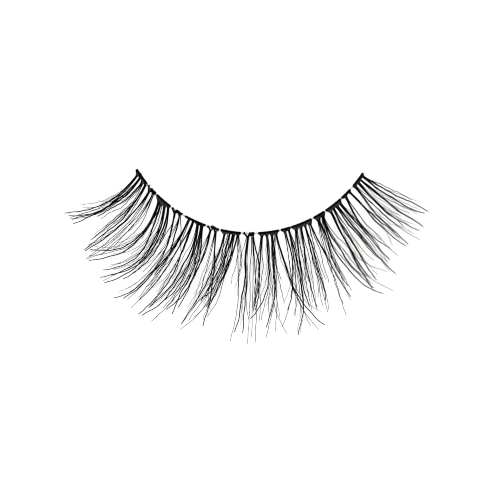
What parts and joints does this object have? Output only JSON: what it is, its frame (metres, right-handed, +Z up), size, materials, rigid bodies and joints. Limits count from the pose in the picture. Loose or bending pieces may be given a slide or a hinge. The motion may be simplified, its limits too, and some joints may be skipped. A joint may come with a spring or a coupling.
{
  "type": "false eyelash strip",
  "caption": "Strip of false eyelashes: wide and narrow knotted tufts by turns along a curved fine thread, their hairs fanned out and curled up at the tips.",
  "frame": {"origin": "middle of the band, on the flat underside of the middle tuft's knots", "axes": "+X along the band to the right, -Y the way the hairs fan out, +Z up from the flat underside, the way the tips curl"},
  "size_m": [0.0431, 0.0206, 0.0057],
  "materials": {
    "hair": "near-black polyester hair with a soft sheen",
    "thread": "clear to pale grey nylon"
  },
  "bodies": {
    "root": {"band_thread": "thread", "lash_tuft_01": "hair", "lash_tuft_02": "hair", "lash_tuft_03": "hair", "lash_tuft_04": "hair", "lash_tuft_05": "hair", "lash_tuft_06": "hair", "lash_tuft_07": "hair", "lash_tuft_08": "hair", "lash_tuft_09": "hair", "lash_tuft_10": "hair", "lash_tuft_11": "hair", "lash_tuft_12": "hair", "lash_tuft_13": "hair", "lash_tuft_14": "hair", "lash_tuft_15": "hair"}
  },
  "joints": []
}
